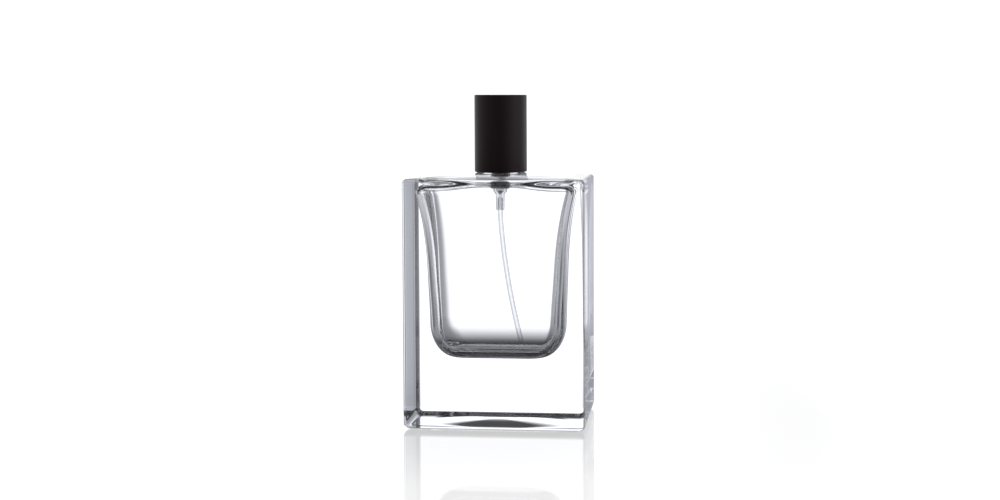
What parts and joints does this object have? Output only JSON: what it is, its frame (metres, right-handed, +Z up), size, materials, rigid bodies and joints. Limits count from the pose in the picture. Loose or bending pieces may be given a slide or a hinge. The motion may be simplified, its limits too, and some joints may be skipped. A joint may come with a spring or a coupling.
{
  "type": "aftershave bottle",
  "caption": "Heavy-base rectangular clear glass bottle with a crimped gunmetal mist pump, a bent dip tube and a round black pull-off cap.",
  "frame": {"origin": "centre of the resting face under the glass, on the neck's axis", "axes": "+Z up along the neck and pump axis; -Y is the front panel and the way the nozzle sprays; +X to the right seen from the front"},
  "size_m": [0.0604, 0.033, 0.1106],
  "materials": {
    "clear_glass": "fire-polished clear flint glass",
    "gunmetal_aluminium": "anodised gunmetal, satin bright",
    "bare_aluminium": "mill finish",
    "black_matte": "fine matte black",
    "liner_plastic": "moulded black",
    "natural_plastic": "natural translucent",
    "white_plastic": "moulded white",
    "tube_plastic": "extruded translucent",
    "core_plastic": "moulded dark grey",
    "stainless_steel": "drawn wire and polished ball",
    "seal_rubber": "matte"
  },
  "bodies": {
    "bottle": {"glass_bottle": "clear_glass", "neck_gasket": "seal_rubber", "crimp_ferrule": "bare_aluminium", "outer_collar": "gunmetal_aluminium", "pump_closure": "white_plastic", "stem_seal": "seal_rubber", "pump_housing": "natural_plastic", "dip_tube": "tube_plastic", "return_spring": "stainless_steel"},
    "stem": {"stem": "white_plastic", "piston_rod": "white_plastic", "precompression_spring": "stainless_steel"},
    "piston": {"piston": "natural_plastic"},
    "inlet_valve": {"inlet_ball": "stainless_steel"},
    "actuator": {"actuator_core": "core_plastic", "actuator_shell": "gunmetal_aluminium", "nozzle_insert": "core_plastic"},
    "cap": {"cap_shell": "black_matte", "cap_liner": "liner_plastic"}
  },
  "joints": [
    {"name": "cap_lift", "type": "slide", "parent": "bottle", "child": "cap", "axis": [0, 0, 1], "range_m": [0, 0.028]},
    {"name": "spray_press", "type": "slide", "parent": "bottle", "child": "stem", "axis": [0, 0, -1], "range_m": [0, 0.0038], "stiffness_N_per_m": 250, "springref_m": -0.002, "deforming": ["return_spring", "precompression_spring"]},
    {"name": "actuator_turn", "type": "hinge", "parent": "stem", "child": "actuator", "pos_m": [0, 0, 0.1], "axis": [0, 0, 1], "continuous": true},
    {"name": "piston_slide", "type": "slide", "parent": "bottle", "child": "piston", "axis": [0, 0, -1], "range_m": [0, 0.0036]},
    {"name": "ball_lift", "type": "slide", "parent": "bottle", "child": "inlet_valve", "axis": [0, 0, 1], "range_m": [0, 0.0008]}
  ],
  "couplings": [
    {"joint": "piston_slide", "follows": "spray_press", "ratio": 0.9}
  ]
}
